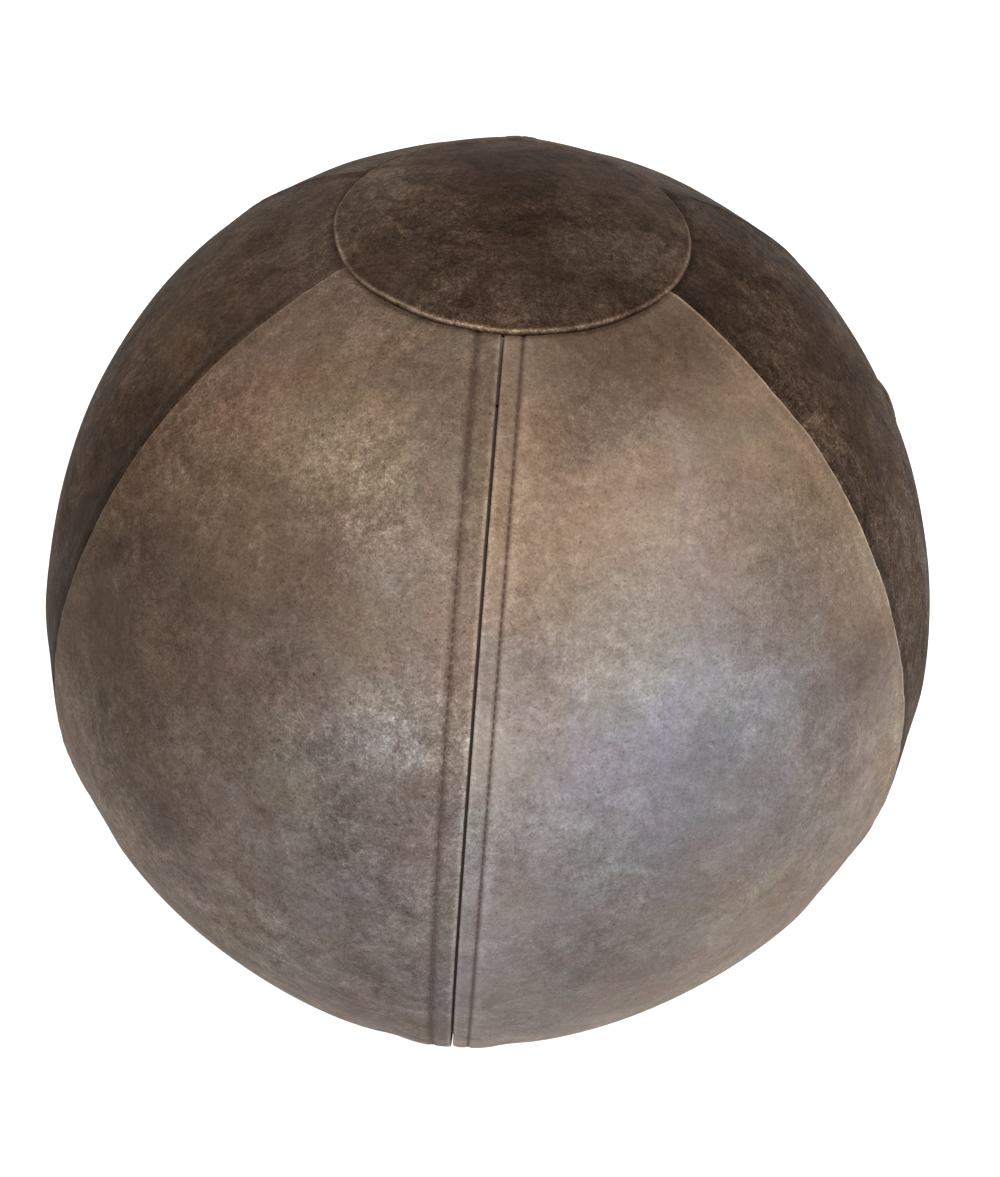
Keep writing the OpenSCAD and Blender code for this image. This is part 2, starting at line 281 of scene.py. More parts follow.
def tube(path, first, second, radius, sides):
    """Points of a round tube, ring by ring. The radius is one number or one for each ring."""
    angle = np.linspace(0, 2 * math.pi, sides, endpoint=False)[:, None]
    ring = np.cos(angle) * first[..., None, :] + np.sin(angle) * second[..., None, :]
    return path[..., None, :] + ring * radius


def both_faces(attributes):
    """Values for the points of a sheet's outer face, and the same again for its inner face."""
    return {key: np.concatenate([values.ravel(), values.ravel()]) for key, values in attributes.items()}


def shell(name, outer, inner, material, attributes):
    """A closed sheet of cloth between two grids of points."""
    rows, cols = outer.shape[:2]
    n = rows * cols
    index = np.arange(n).reshape(rows, cols)
    rim = np.concatenate([index[0, :-1], index[:-1, -1], index[-1, :0:-1], index[:0:-1, 0]])
    after = np.roll(rim, -1)
    sides = np.stack([after, rim, rim + n, after + n], axis=1)
    faces = np.concatenate([grid_faces(rows, cols), grid_faces(rows, cols, n, True), sides])
    points = np.concatenate([outer.reshape(-1, 3), inner.reshape(-1, 3)]) + MIDDLE
    return mesh_object(name, points, faces.tolist(), material, both_faces(attributes))


# ---- Gores ----

# Columns of a gore's grid: their distances from a seam's plane, and from the lip's edge beside the zip
SEAM_COLUMNS = MM * np.array(
    [0.05, 0.15, 0.35, 0.7, 1.1, 1.6, 2.2, 3, 4, 5.5, 7.5, 9.3, 10.6, 12, 14.5, 18, 23]
)
LIP_COLUMNS = MM * np.array(
    [0, 0.1, 0.3, 0.6, 1, 1.5, 2.3, 3.5, 5, 6.5, 8, 9, 9.5, 10, 10.7, 11.5, 12.2, 12.8, 13.4]
    + [14.4, 16, 18, 20.5, 24, 28, 33, 39, 46]
)
MIDDLE_COLUMNS = 26
GORE_ROWS = 316
ZIP_GORE_ROWS = 492  # fine enough for the dips between the stitches
CAP_TUCK = 3 * MM  # how far a gore's end reaches under the cap
HALVINGS = 40


def gore_grid(azimuth, rows, low, high):
    """Latitudes and turns of a gore's grid, from its columns' distances on the low and the high side."""

    def turn_of(lat):
        low_turns = -seam_angle(lat[:, : len(low)], low)
        high_turns = seam_angle(lat[:, -len(high) :], high[::-1])
        share = np.linspace(0, 1, MIDDLE_COLUMNS + 2)[1:-1]
        mid_lat = lat[:, len(low) : -len(high)]
        first, last = -seam_angle(mid_lat, low[-1]), seam_angle(mid_lat, high[-1])
        return np.concatenate([low_turns, first + (last - first) * share, high_turns], axis=1)

    # the latitude at which each column ends under the cap, by halving the range
    cols = len(low) + MIDDLE_COLUMNS + len(high)
    below, above = np.full((1, cols), math.radians(50)), np.full((1, cols), math.radians(78))
    for _ in range(HALVINGS):
        guess = (below + above) / 2
        place, _ = gore_point(azimuth, guess, turn_of(guess))
        outside = np.hypot(place[..., 0], place[..., 1]) > CAP_R - CAP_TUCK
        below, above = np.where(outside, guess, below), np.where(outside, above, guess)
    lat = np.linspace(-1, 1, rows)[:, None] * below
    return lat, turn_of(lat)


def lip_surface(side, lat, q):
    """Points and normals of a zip lip's smooth face, which drops under the caps at its ends."""
    run = smooth((np.abs(lat) - LIP_END) / (CAP_LAT - LIP_END + math.radians(0.5)))
    radius = LIP_RHO - LIP_DROP * run
    place = np.stack([side * q + 0 * lat, ARC_BACK - radius * np.cos(lat), radius * np.sin(lat)], axis=-1)
    normal = np.stack([0 * lat * q, -np.cos(lat) + 0 * q, np.sin(lat) + 0 * q], axis=-1)
    return place, normal


def seam_relief(q, s, seam, padded):
    """Height of the cloth beside a plain seam: a rolled edge, puckers, and the allowance under one side."""
    thread_pull = 0.5 + 0.5 * ripple(s, 9 * MM, seam)
    height = fillet(q, 2.2 * MM, 1.5 * MM)
    allowance_end = 11.4 * MM + 0.5 * MM * ripple(s, 22 * MM, seam + 1)
    height += (0.75 if padded else 0.25) * MM * smooth((allowance_end - q) / (2.2 * MM))
    height += 0.32 * MM * ripple(s, 6.5 * MM, seam + 2) * np.exp(-q / (6 * MM))
    height += 0.35 * MM * ripple(s, 17 * MM, seam + 3) * np.exp(-q / (15 * MM)) * smooth(q / (3 * MM))
    height -= 0.25 * MM * thread_pull * np.exp(-q / (2.5 * MM))
    return height


def lip_relief(side, q, s):
    """Height of the cloth beside the zip: a folded edge, a padded lip, and the dip along the topstitching."""
    stitch = STITCH_X[side]
    height = fillet(q - LIP_EDGE, 1.0 * MM, 0.6 * MM)
    height += 0.5 * MM * np.sin(math.pi * np.clip((q - LIP_EDGE) / (stitch - LIP_EDGE), 0, 1)) ** 0.8
    height += (0.45 if side < 0 else -0.25) * MM * np.exp(-(q - LIP_EDGE) / (5 * MM))
    hole = 0.5 + 0.5 * np.cos(2 * math.pi * s / STITCH_PITCH)
    height -= (0.6 + 0.35 * hole) * MM * bell(q, stitch, (1.9 if side < 0 else 1.2) * MM)
    height += 0.4 * MM * smooth((q - stitch) / (2 * MM)) * np.exp(-(q - stitch).clip(0) / (6 * MM))
    height += 0.14 * MM * ripple(s, 6 * MM, 70 + side) * bell(q, stitch, 5 * MM)
    height += 0.3 * MM * ripple(s, 26 * MM, 80 + side) * smooth(q / (4 * MM))
    return height


def lip_wear_and_painted_light(side, q):
    """How light or dark the cloth is beside the zip: lighter on the fold, partly rubbed nap and partly a
    painted highlight, painted shade in its gap and in the dip along the topstitching, and lighter again
    beyond the stitches.
    """
    stitch = STITCH_X[side]
    wear_and_painted_light = (0.9 if side < 0 else 0.4) * bell(q, LIP_EDGE + 1.1 * MM, 1.2 * MM)
    # painted shade in the gap between the lips
    wear_and_painted_light -= 0.4 * (1 - smooth((q - LIP_EDGE) / (0.4 * MM)))
    # painted shade in the dip along the topstitching
    wear_and_painted_light -= (0.9 if side < 0 else 1.3) * bell(q, stitch, (2.6 if side < 0 else 1.0) * MM)
    wear_and_painted_light += 0.25 * bell(q, stitch + 4 * MM, 2.5 * MM)
    return wear_and_painted_light


def seam_wear_and_painted_light(q, s, seam, azimuth_deg):
    """How light or dark the cloth is beside a plain seam: lighter on the rolled edge, partly rubbed nap and
    partly a painted highlight, and painted shade in the seam and behind the edge.
    """
    edge = EDGE_WEAR_AND_HIGHLIGHT.get(azimuth_deg, OTHER_EDGE_WEAR_AND_HIGHLIGHT)
    wear_and_painted_light = edge * bell(q, 1.3 * MM, 0.9 * MM) * (1 + 0.3 * ripple(s, 12 * MM, seam))
    # painted shade in the seam's groove
    wear_and_painted_light -= 1.4 * (1 - smooth(q / (0.9 * MM)))
    # painted shade behind the rolled edge, fainter on the two front gores
    wear_and_painted_light -= (0.1 if azimuth_deg in ZIP_SIDE else 0.6) * bell(q, 4.5 * MM, 3.5 * MM)
    wear_and_painted_light += 0.2 * bell(q, 11 * MM, 1.3 * MM)
    return wear_and_painted_light


STRAP_END_R = 335 * MM  # how far the strap's sewn ends lie from the ball's middle


def strap_shadow(points):
    """1 under the carry strap's sewn ends, where the cover lies flat, and 0 away from them."""
    near = np.zeros(points.shape[:-1])
    for side in (-1, 1):
        turn = HANDLE_AZ + side * (ARCH_SPAN + END_LEN) / 2 / GORE_R / math.cos(HANDLE_LAT)
        end = STRAP_END_R * direction(math.degrees(turn), math.degrees(HANDLE_LAT))
        apart = np.linalg.norm(points - end, axis=-1)
        near = np.maximum(near, smooth((80 * MM - apart) / (45 * MM)))
    return near


def zip_shadow(points):
    """1 beside the zip, where its tape holds the cover flat, and 0 away from it."""
    beside = 1 - smooth((np.abs(points[..., 0]) - 14 * MM) / (24 * MM))
    return np.where(points[..., 1] < 0, beside, 0)


STEPS_ONTO_COVER = 30


def smooth_cover(ways):
    """Points of the cover's smooth face in the given directions from the ball's middle."""
    reach = np.full(ways.shape[:-1], GORE_R)
    for _ in range(STEPS_ONTO_COVER):
        at = ways * reach[..., None]
        flat, high = np.hypot(at[..., 0], at[..., 1]), np.abs(at[..., 2])
        turn = (np.arctan2(at[..., 0], -at[..., 1]) % math.radians(60)) - GORE_HALF
        gap = np.hypot(flat * np.cos(turn) + AXIS_BACK, flat * np.sin(turn)) - AXIS_BACK + ARC_BACK
        over_gore = np.hypot(gap, high) - RHO
        over_cap = np.hypot(flat, high - CAP_Z) - CAP_FACE
        reach = reach - np.where(flat < CAP_R, over_cap, over_gore)
    return ways * reach[..., None]


SIM_ROWS, SIM_COLS, SIM_FRAMES = 91, 180, 22
SIM_SMOOTHINGS = 4
SIM_REACH = 88  # how high and how low the simulated grid reaches, in degrees
CLOTH_SETTINGS = {
    "quality": 7,
    "mass": 0.12,
    "tension_stiffness": 30,
    "compression_stiffness": 10,
    "shear_stiffness": 8,
    "bending_stiffness": 0.08,
    "use_pressure": True,
    "uniform_pressure_force": 6,
    "vertex_group_shrink": "seams",
    "shrink_max": 0.06,
}


def settled_cover():
    """How far out each place of the cover settles when it is sewn up and the ball inside is pumped up.

    A coarse cover is simulated as cloth under pressure, with its seams drawn in by their thread. The result
    is a grid of distances by height and azimuth.
    """
    heights = np.radians(np.linspace(-SIM_REACH, SIM_REACH, SIM_ROWS))
    azimuths = np.linspace(0, 2 * math.pi, SIM_COLS, endpoint=False)
    h, a = np.meshgrid(heights, azimuths, indexing="ij")
    ways = np.stack([np.sin(a) * np.cos(h), -np.cos(a) * np.cos(h), np.sin(h)], axis=-1)
    start = smooth_cover(ways)
    uneven = 0.6 * MM * swell(start, 0.05, 61)
    points = (start + ways * uneven[..., None]).reshape(-1, 3)
    cover = mesh_object("settling_cover", points, ring_faces(SIM_ROWS, SIM_COLS), None)
    flat = np.hypot(start[..., 0], start[..., 1])
    on_seam = (np.arange(SIM_COLS) % (SIM_COLS // 6) == 0)[None, :] & (flat > CAP_R)
    on_seam |= np.abs(flat - CAP_R) < 4 * MM
    cover.vertex_groups.new(name="seams").add(np.flatnonzero(on_seam).tolist(), 1.0, "REPLACE")
    cloth = cover.modifiers.new("cloth", "CLOTH")
    for key, value in CLOTH_SETTINGS.items():
        setattr(cloth.settings, key, value)
    cloth.settings.effector_weights.gravity = 0
    cloth.point_cache.frame_end = SIM_FRAMES
    scene = bpy.context.scene
    for number in range(1, SIM_FRAMES + 1):
        scene.frame_set(number)
    ready = cover.evaluated_get(bpy.context.evaluated_depsgraph_get()).to_mesh()
    moved = np.empty(len(points) * 3)
    ready.vertices.foreach_get("co", moved)
    scene.frame_set(1)
    bpy.data.objects.remove(cover)
    out = ((moved.reshape(start.shape) - start) * ways).sum(axis=-1)
    for _ in range(SIM_SMOOTHINGS):
        out = (2 * out + np.roll(out, 1, axis=1) + np.roll(out, -1, axis=1)) / 4
        out[1:-1] = (2 * out[1:-1] + out[:-2] + out[2:]) / 4
    return out - np.median(out)


SETTLED = settled_cover()
SETTLE_SCALE = 1.2 * MM  # holds what the simulation gives between -0.9 and 1.5 mm


def settle(points):
    """The simulated distance at each point, held to the little room that the ball inside leaves."""
    height = np.degrees(np.arctan2(points[..., 2], np.hypot(points[..., 0], points[..., 1])))
    row = np.clip((height + SIM_REACH) / (2 * SIM_REACH) * (SIM_ROWS - 1), 0, SIM_ROWS - 1.001)
    col = (np.arctan2(points[..., 0], -points[..., 1]) / (2 * math.pi) % 1) * SIM_COLS
    i, j = row.astype(int), col.astype(int) % SIM_COLS
    u, v = smooth(row - i), smooth(col - np.floor(col))
    k = (j + 1) % SIM_COLS
    low = SETTLED[i, j] * (1 - v) + SETTLED[i, k] * v
    high = SETTLED[i + 1, j] * (1 - v) + SETTLED[i + 1, k] * v
    return SETTLE_SCALE * (0.25 + np.tanh((low * (1 - u) + high * u) / (2 * SETTLE_SCALE)))


def body_swell(points):
    """Soft unevenness of the whole cover, which is never quite round."""
    soft = 0.6 * MM * swell(points, 0.26, 5) + 0.25 * MM * swell(points, 0.09, 6) + settle(points)
    return soft * (1 - strap_shadow(points)) * (1 - 0.8 * zip_shadow(points))


FRONT_RIGHT, BACK_RIGHT, BACK_LEFT, FRONT_LEFT = 30, 150, 210, 330  # azimuths of these gores' middles
ZIP_SIDE = {FRONT_RIGHT: 1, FRONT_LEFT: -1}  # which way a front gore lies from the zip
PADDED = (FRONT_RIGHT, BACK_RIGHT, BACK_LEFT, FRONT_LEFT)  # gores that the seam allowance is folded under
EDGE_WEAR_AND_HIGHLIGHT = {FRONT_RIGHT: 1.3, FRONT_LEFT: 0.6}  # how light a plain seam's edge is painted, partly rubbed nap and partly a painted highlight, strongest on the front right
OTHER_EDGE_WEAR_AND_HIGHLIGHT = 0.25  # and on the other gores


def gore(name, azimuth_deg, material):
    """One of the six gores, with a folded lip where it meets the zip and rolled edges at its plain seams."""
    azimuth = math.radians(azimuth_deg)
    zip_side = ZIP_SIDE.get(azimuth_deg, 0)
    low = LIP_EDGE + LIP_COLUMNS if zip_side > 0 else SEAM_COLUMNS
    high = LIP_EDGE + LIP_COLUMNS if zip_side < 0 else SEAM_COLUMNS
    lat, turn = gore_grid(azimuth, ZIP_GORE_ROWS if zip_side else GORE_ROWS, low, high)
    place, normal = gore_point(azimuth, lat, turn)
    s = RHO * lat
    height = np.zeros_like(lat)
    wear_and_painted_light = np.zeros_like(lat)
    for side in (-1, 1):
        q = gore_width(lat) * np.sin(GORE_HALF - side * turn) - AXIS_BACK / 2
        if zip_side and side == -zip_side:
            there = 1 - smooth((q - 14 * MM) / (32 * MM))
            lip, lip_normal = lip_surface(zip_side, lat, q)
            place = place + (lip - place) * there[..., None]
            normal = unit(normal + (lip_normal - normal) * there[..., None])
            height += lip_relief(zip_side, q, s) * (1 - smooth((q - 30 * MM) / (14 * MM)))
            wear_and_painted_light += lip_wear_and_painted_light(zip_side, q)
        else:
            seam = int(azimuth_deg + side * 30) % 360
            flattened = 1 - 0.7 * smooth((np.abs(lat) - CAP_LAT + math.radians(9)) / math.radians(7))
            height += seam_relief(q, s, 100 * seam, padded=azimuth_deg in PADDED) * flattened
            wear_and_painted_light += seam_wear_and_painted_light(q, s, seam, azimuth_deg)
    height += body_swell(place)
    radius = np.hypot(place[..., 0], place[..., 1])
    height -= 1.2 * MM * (1 - smooth((radius - CAP_R) / (6 * MM)))
    round_cap = np.arctan2(place[..., 0], -place[..., 1]) * CAP_R
    height += 0.35 * MM * ripple(round_cap, 7 * MM, 9) * bell(radius, CAP_R + 6 * MM, 7 * MM)
    # painted shade on the gore where it runs under the cap's proud edge
    wear_and_painted_light -= 1.5 * (1 - smooth((radius - CAP_R - 0.5 * MM) / (3 * MM)))
    # the patches' brushed nap, painted highlight, painted cool reflection and painted shade, carried on the
    # points
    light, cool = nap_and_painted_light(place)
    outer = place + normal * height[..., None]
    inner = outer - normal * CLOTH
    values = {"nap": light, "cool": cool, "wear_and_painted_light": wear_and_painted_light}
    piece = shell("cover_" + name.removeprefix("gore_"), outer, inner, material, values)
    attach(piece, "ball")
    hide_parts(name)


# ---- Caps ----


CAP_SPOKES = 300
CAP_COLUMNS = MM * np.array([0, 0.05, 0.2, 0.45, 0.8, 1.3, 1.9, 2.6, 3.6, 5, 7, 8.6, 9.8, 11.2, 13.5])
WRAP_ANGLE = 0.3  # over which the waves round a cap fade into their own start, in radians


def cap(name, top, material):
    """A round cap: a rolled edge that stands proud of the gores, and a slight swell in the middle."""
    rim = CAP_R - CAP_COLUMNS
    radii = np.concatenate([rim, np.linspace(rim[-1] - 3 * MM, 0.4 * MM, 32)])
    angles = np.linspace(0, 2 * math.pi, CAP_SPOKES, endpoint=False)
    r, a = np.meshgrid(radii, angles, indexing="ij")
    s = a * CAP_R
    wrap = smooth((a - 2 * math.pi + WRAP_ANGLE) / WRAP_ANGLE)

    def around(pitch, seed):
        """Waves along the rim that close on themselves."""
        return ripple(s, pitch, seed) * (1 - wrap) + ripple(s - 2 * math.pi * CAP_R, pitch, seed) * wrap

    inward = CAP_R - r
    reach = r + (0.7 * MM * around(38 * MM, 21) + 0.6 * MM) * smooth((r - 60 * MM) / (40 * MM))
    z = np.sqrt(CAP_FACE**2 - reach**2) + CAP_Z
    place = np.stack([reach * np.sin(a), -reach * np.cos(a), z], axis=-1)
    normal = unit(place - np.array([0, 0, CAP_Z]))
    height = fillet(inward, 2.6 * MM, 2.1 * MM) - 0.7 * MM
    height += 0.5 * MM * smooth((10.4 * MM - inward) / (3 * MM))
    height += 0.3 * MM * around(7 * MM, 23) * np.exp(-inward / (8 * MM))
    height += 0.4 * MM * around(19 * MM, 24) * np.exp(-inward / (22 * MM))
    height += 0.3 * MM * swell(place, 0.08, 31) * smooth(inward / (12 * MM)) + body_swell(place)
    # the rolled rim is painted lighter, partly rubbed nap and partly a painted highlight that is brightest at
    # the front, and painted shade where its edge turns under
    rim_wear_and_highlight = 1.6 + 1.3 * np.cos(a) + 0.4 * around(16 * MM, 27)
    wear_and_painted_light = rim_wear_and_highlight * bell(inward, 1.7 * MM, 1.0 * MM) + 0.3 * bell(inward, 9 * MM, 3 * MM)
    wear_and_painted_light -= 1.6 * (1 - smooth(inward / (0.7 * MM)))
    outer = place + normal * height[..., None]
    if not top:
        outer = outer * np.array([1, 1, -1])
        normal = normal * np.array([1, 1, -1])
        outer[..., 2] = np.maximum(outer[..., 2], -MIDDLE_Z)
    inner = outer - normal * CLOTH
    rows = len(radii)
    n = rows * CAP_SPOKES
    faces = ring_faces(rows, CAP_SPOKES, 0, flip=not top, open_start=True)
    faces += ring_faces(rows, CAP_SPOKES, n, flip=top, open_start=True)
    b = np.arange(CAP_SPOKES)
    after = np.roll(b, -1)
    sides = np.stack([after, b, b + n, after + n], axis=1)
    faces += (sides if top else sides[:, ::-1]).tolist()
    points = np.concatenate([outer.reshape(-1, 3), inner.reshape(-1, 3)]) + MIDDLE
    # the patches' brushed nap and painted light and shade, as on the gores
    light, cool = nap_and_painted_light(place)
    values = both_faces({"nap": light, "cool": cool, "wear_and_painted_light": wear_and_painted_light})
    piece = mesh_object("cover_" + name, points, faces, material, values)
    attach(piece, "ball")
    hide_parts(name)


# ---- Stitches, tubes and the coil ----


def along(path, normals, s):
    """Points and normals of a path at the lengths s."""
    steps = np.linalg.norm(np.diff(path, axis=0), axis=1)
    total = np.concatenate([[0], np.cumsum(steps)])
    at = np.stack([np.interp(s, total, path[:, k]) for k in range(3)], axis=-1)
    n = np.stack([np.interp(s, total, normals[:, k]) for k in range(3)], axis=-1)
    return at, unit(n), total[-1]


STITCH_SIDES = 7


def stitches(path, normals, pitch, length, diameter, seed):
    """Points and faces of a row of stitches that lie on a path and dip into the cloth at both ends."""
    _, _, total = along(path, normals, np.array([0.0]))
    count = max(1, int(total / pitch))
    starts = (np.arange(count) + 0.5) * total / count - length / 2
    share = np.array([0, 0.1, 0.3, 0.5, 0.7, 0.9, 1])
    lift = np.array([-0.75, -0.1, 0.22, 0.3, 0.22, -0.1, -0.75]) * diameter
    fat = np.array([0.55, 0.9, 1, 1.05, 1, 0.9, 0.55]) * diameter / 2
    rng = np.random.default_rng(seed)
    skew = rng.uniform(-0.06, 0.06, count)
    s = starts[:, None] + share * length
    at, n, _ = along(path, normals, s.ravel())
    ahead, _, _ = along(path, normals, (s + 0.2 * MM).ravel())
    behind, _, _ = along(path, normals, (s - 0.2 * MM).ravel())
    side = np.cross(unit(ahead - behind), n)
    at, n, side = (v.reshape(count, len(share), 3) for v in (at, n, side))
    at = at + n * lift[None, :, None] + side * (skew[:, None] * (share - 0.5) * length)[..., None]
    points = tube(at, side, n, fat[:, None, None], STITCH_SIDES)
    faces = []
    for number in range(count):
        start = number * len(share) * STITCH_SIDES
        faces += ring_faces(len(share), STITCH_SIDES, start, flip=True)
    return points.reshape(-1, 3), faces


def joined(name, parts, material):
    """One piece from several lists of points and faces."""
    points, faces, base = [], [], 0
    for p, f in parts:
        points.append(p)
        faces += [tuple(base + v for v in face) for face in f]
        base += len(p)
    return mesh_object(name, np.concatenate(points), faces, material)


def topstitch(name, side, material):
    """The row of stitches on one side of the zip, in the dip that they pull into the lip."""
    lat = np.linspace(-CAP_LAT + math.radians(1.5), CAP_LAT - math.radians(1.5), 900)
    q = np.full_like(lat, STITCH_X[side])
    place, normal = lip_surface(side, lat, q)
    height = lip_relief(side, q, RHO * lat) + body_swell(place) + 0.12 * MM
    path = place + normal * height[..., None] + MIDDLE
    points, faces = stitches(path, normal, STITCH_PITCH, 3.9 * MM, 0.75 * MM, side + 5)
    piece = mesh_object(name, points, faces, material)
    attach(piece, "ball")
    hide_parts("topstitch_" + ("left" if side < 0 else "right"))


def coil(name, side, material):
    """The zip's nylon coil: a filament wound round and round beside the gap."""
    pitch, per_turn, sides, wire = 1.35 * MM, 10, 5, 0.3 * MM
    turns = int((COIL_TO - COIL_FROM) * COIL_R / pitch)
    t = np.arange(turns * per_turn + 1) / per_turn
    lat = COIL_FROM + t * pitch / COIL_R
    phase = 2 * math.pi * (t + (0.5 if side > 0 else 0))
    x = side * (2.0 * MM + 1.15 * MM * np.cos(phase))
    radius = COIL_R + 0.85 * MM * np.sin(phase)
    path = np.stack([x, ARC_BACK - radius * np.cos(lat), radius * np.sin(lat)], axis=-1) + MIDDLE
    way = unit(np.gradient(path, axis=0))
    run = np.stack([0 * lat, np.sin(lat), np.cos(lat)], axis=-1)
    first = unit(np.cross(way, run))
    points = tube(path, first, np.cross(way, first), wire, sides).reshape(-1, 3)
    piece = mesh_object(name, points, ring_faces(len(path), sides), material)
    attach(piece, "ball")
    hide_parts("zip_coil_" + ("left" if side < 0 else "right"))


# ---- Carry strap ----

# The seam under the strap
SEAM_AXIS = AXIS_BACK * math.cos(GORE_HALF)  # how far a gore's own axis lies behind the ball's axis
SEAM_SIDE = AXIS_BACK * math.sin(GORE_HALF)  # and how far beside the seam's plane
SEAM_R = math.sqrt((GORE_R + AXIS_BACK) ** 2 - SEAM_SIDE**2) - SEAM_AXIS  # the seam's radius at half height
CAP_EDGE_X = math.sqrt((CAP_R + SEAM_AXIS) ** 2 + SEAM_SIDE**2) - AXIS_BACK
CAP_EDGE_Z = math.sqrt(RHO**2 - (CAP_EDGE_X + ARC_BACK) ** 2)
SEAM_BACK = (CAP_R**2 + CAP_EDGE_Z**2 - SEAM_R**2) / (2 * (SEAM_R - CAP_R))  # centre of the seam's arc
SEAM_RHO = SEAM_R + SEAM_BACK
HANDLE_X = SEAM_RHO * math.cos(HANDLE_LAT) - SEAM_BACK
HANDLE_Z = SEAM_RHO * math.sin(HANDLE_LAT)


def handle_frame():
    """The outward, sideways and upward direction at the strap's middle, and where that is."""
    out, across = axes(HANDLE_AZ)
    normal = out * math.cos(HANDLE_LAT) + UP * math.sin(HANDLE_LAT)
    north = -out * math.sin(HANDLE_LAT) + UP * math.cos(HANDLE_LAT)
    return normal, across, north, out * HANDLE_X + UP * HANDLE_Z


STEPS_ONTO_SEAM = 9


def cover_height(across, north):
    """Height of the cover at a place beside the strap's middle, found by stepping onto its face."""
    out = np.zeros(np.broadcast(across, north).shape)
    side = np.where(across < 0, -1, 1)
    for _ in range(STEPS_ONTO_SEAM):
        x = HANDLE_X + out * math.cos(HANDLE_LAT) - north * math.sin(HANDLE_LAT)
        z = HANDLE_Z + out * math.sin(HANDLE_LAT) + north * math.cos(HANDLE_LAT)
        reach = np.hypot(x + SEAM_AXIS, across + side * SEAM_SIDE) - AXIS_BACK + ARC_BACK
        out = out - (np.hypot(reach, z) - RHO)
    return out


def strap_under(across, north):
    """Height of the strap's underside: on the cover at its ends, and an arch between them."""
    arch = np.where(np.abs(across) < ARCH_SPAN / 2, np.cos(math.pi * across / ARCH_SPAN) ** 2, 0)
    sewn = 1 - smooth(arch * 8)
    cover = cover_height(across, 0 * north) * (1 - sewn) + cover_height(across, north) * sewn
    return cover + 0.25 * MM + ARCH_RISE * arch


def strap_crown(north):
    """How far the strap's upper face bulges."""
    return STRAP_CROWN * (1 - (north / (STRAP_W / 2)) ** 2)


def strap(material):
    """A folded strap with rounded edges, flat where it is sewn down and arched between."""
    half = ARCH_SPAN / 2 + END_LEN
    across = np.linspace(-half, half, 221)
    edge = STRAP_T / 2
    turn = np.linspace(-math.pi / 2, math.pi / 2, 9)
    straight = STRAP_W / 2 - edge
    flat = np.linspace(-1, 1, 15)[1:-1] * straight
    # once round the strap's section: its north edge, its upper face, its south edge and its underside
    round_out, round_up = edge * np.cos(turn), edge * np.sin(turn)
    upper_face, underside = np.full_like(flat, STRAP_T), np.zeros_like(flat)
    north = np.concatenate([straight + round_out, flat[::-1], -straight - round_out, flat])
    rise = np.concatenate([edge + round_up, upper_face, edge - round_up, underside])
    upper = rise > edge
    c, n = np.meshgrid(across, north, indexing="ij")
    arch = smooth((ARCH_SPAN / 2 - np.abs(c)) / (30 * MM))
    crown = np.where(upper, strap_crown(n), 0)
    groove = np.where(upper, -0.35 * MM * bell(np.abs(n), STRAP_ROW, 0.8 * MM), 0)
    wave = 0.25 * MM * ripple(c, 14 * MM, 55) * np.where(upper, 1, 0)
    pinch = 1 - 0.035 * arch + 0.012 * ripple(c, 33 * MM, 56)
    height = strap_under(c, n) + rise + crown + groove + wave
    hem = fillet(half - np.abs(c), 1.6 * MM, 1.1 * MM) * np.where(upper, 1, 0)
    normal, sideways, up, middle = handle_frame()
    points = (
        middle
        + (height + hem)[..., None] * normal
        + c[..., None] * sideways
        + (n * pinch)[..., None] * up
        + MIDDLE
    )
    rows, cols = c.shape
    quads = []
    for i in range(rows - 1):
        for j in range(cols):
            k = (j + 1) % cols
            quads.append((i * cols + j, (i + 1) * cols + j, (i + 1) * cols + k, i * cols + k))
    quads.append(tuple(range(cols)))
    quads.append(tuple(range((rows - 1) * cols, rows * cols))[::-1])
    # the patches' brushed nap and painted light and shade, as on the gores
    light, cool = nap_and_painted_light(points - MIDDLE)
    # the strap is painted lighter on its rounded edges, its crown and its hemmed ends, partly rubbed nap and
    # partly a painted highlight, and painted shade in the grooves of its stitch rows
    wear_and_painted_light = 0.9 * bell(np.abs(n), STRAP_W / 2, 1.4 * MM) - 0.8 * bell(np.abs(n), STRAP_ROW, 1.1 * MM)
    wear_and_painted_light += 0.25 * bell(np.abs(n), 0, 9 * MM) + 0.7 * bell(half - np.abs(c), 0.6 * MM, 1 * MM)
    values = {"nap": light.ravel(), "cool": cool.ravel(), "wear_and_painted_light": wear_and_painted_light.ravel()}
    piece = mesh_object("carry_strap", points.reshape(-1, 3), quads, material, values)
    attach(piece, "ball")
    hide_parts("handle_strap")


def strap_stitching(material):
    """Rows along both edges of the strap, and a sewn box with a cross on each end."""
    normal, sideways, up, middle = handle_frame()

    def on_strap(c, n):
        height = strap_under(c, n) + STRAP_T + strap_crown(n) + 0.05 * MM
        return middle + height[:, None] * normal + c[:, None] * sideways + n[:, None] * up + MIDDLE

    parts = []
    half = ARCH_SPAN / 2 + END_LEN - 3 * MM
    row = STRAP_ROW
    lines = [((-half, side * row), (half, side * row)) for side in (-1, 1)]
    for side in (-1, 1):
        a, b = side * (ARCH_SPAN / 2 + 3 * MM), side * half
        lines += [((a, -row), (a, row)), ((b, -row), (b, row)), ((a, -row), (b, row)), ((a, row), (b, -row))]
    for (c0, n0), (c1, n1) in lines:
        steps = max(12, int(math.hypot(c1 - c0, n1 - n0) / MM))
        path = on_strap(np.linspace(c0, c1, steps), np.linspace(n0, n1, steps))
        normals = np.tile(normal, (steps, 1))
        parts.append(stitches(path, normals, 3.6 * MM, 2.8 * MM, 0.7 * MM, seed=len(parts)))
    piece = joined("strap_stitches", parts, material)
    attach(piece, "ball")
    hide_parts("handle_stitching")


# ---- Materials ----


